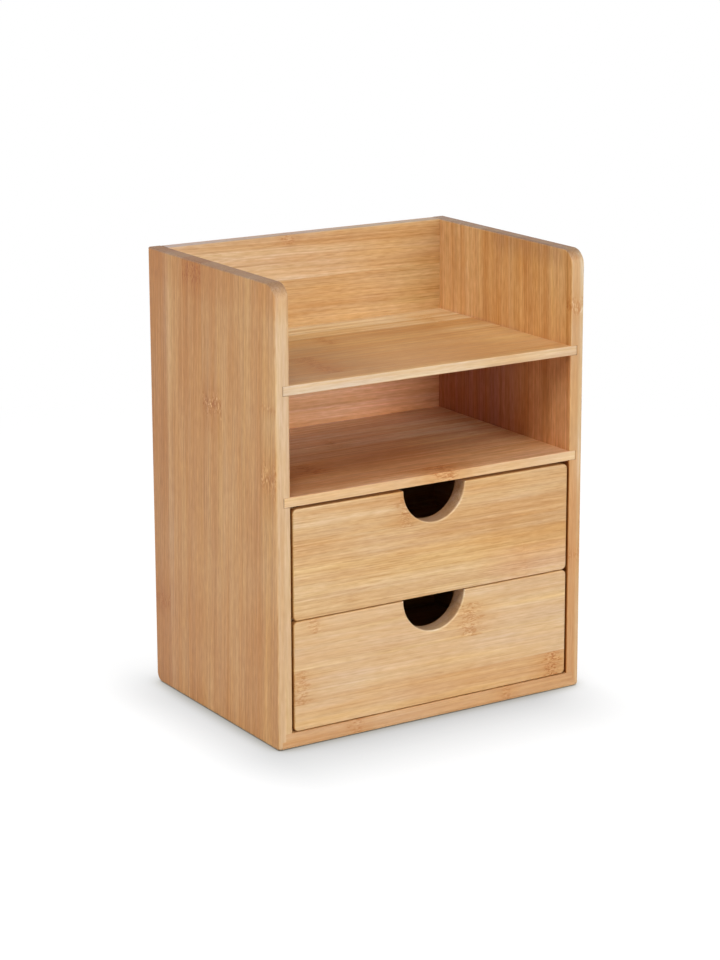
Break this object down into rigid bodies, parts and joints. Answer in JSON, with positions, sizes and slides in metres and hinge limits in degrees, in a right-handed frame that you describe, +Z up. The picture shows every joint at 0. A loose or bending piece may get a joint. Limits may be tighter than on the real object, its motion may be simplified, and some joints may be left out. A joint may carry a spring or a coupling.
{
  "type": "desktop mini drawers",
  "caption": "Bamboo desktop organiser: open shelves with raised sides above sliding drawers with half-round finger notches.",
  "frame": {"origin": "middle of the footprint, on the surface that the organiser stands on", "axes": "+X to the right as seen from the front, +Y from the drawer fronts towards the back, +Z up; the drawers open towards -Y"},
  "size_m": [0.2, 0.14, 0.2549],
  "materials": {
    "side_bamboo": "satin oiled bamboo, upright strips",
    "back_bamboo": "satin oiled bamboo, strips across",
    "bottom_bamboo": "satin oiled bamboo, strips across",
    "shelf_bamboo": "satin oiled bamboo, strips across",
    "front_bamboo": "satin oiled bamboo, strips across, sanded edges",
    "box_bamboo": "sanded bare bamboo",
    "box_floor_bamboo": "thin bare bamboo board",
    "runner_bamboo": "planed bare bamboo strip",
    "dowel_wood": "bare turned wood",
    "brad_steel": "bright drawn steel"
  },
  "bodies": {
    "carcass": {"left_side_panel": "side_bamboo", "right_side_panel": "side_bamboo", "back_panel": "back_bamboo", "bottom_panel": "bottom_bamboo", "middle_shelf": "shelf_bamboo", "top_shelf": "shelf_bamboo", "back_dowels": "dowel_wood", "runner_brads": "brad_steel", "lower_drawer_left_runner": "runner_bamboo", "lower_drawer_right_runner": "runner_bamboo", "upper_drawer_left_runner": "runner_bamboo", "upper_drawer_right_runner": "runner_bamboo"},
    "lower_drawer": {"lower_drawer_front": "front_bamboo", "lower_drawer_left_side": "box_bamboo", "lower_drawer_right_side": "box_bamboo", "lower_drawer_back": "box_bamboo", "lower_drawer_bottom": "box_floor_bamboo", "lower_drawer_brads": "brad_steel"},
    "upper_drawer": {"upper_drawer_front": "front_bamboo", "upper_drawer_left_side": "box_bamboo", "upper_drawer_right_side": "box_bamboo", "upper_drawer_back": "box_bamboo", "upper_drawer_bottom": "box_floor_bamboo", "upper_drawer_brads": "brad_steel"}
  },
  "joints": [
    {"name": "lower_drawer_slide", "type": "slide", "parent": "carcass", "child": "lower_drawer", "axis": [0, -1, 0], "range_m": [0, 0.1]},
    {"name": "upper_drawer_slide", "type": "slide", "parent": "carcass", "child": "upper_drawer", "axis": [0, -1, 0], "range_m": [0, 0.1]}
  ]
}
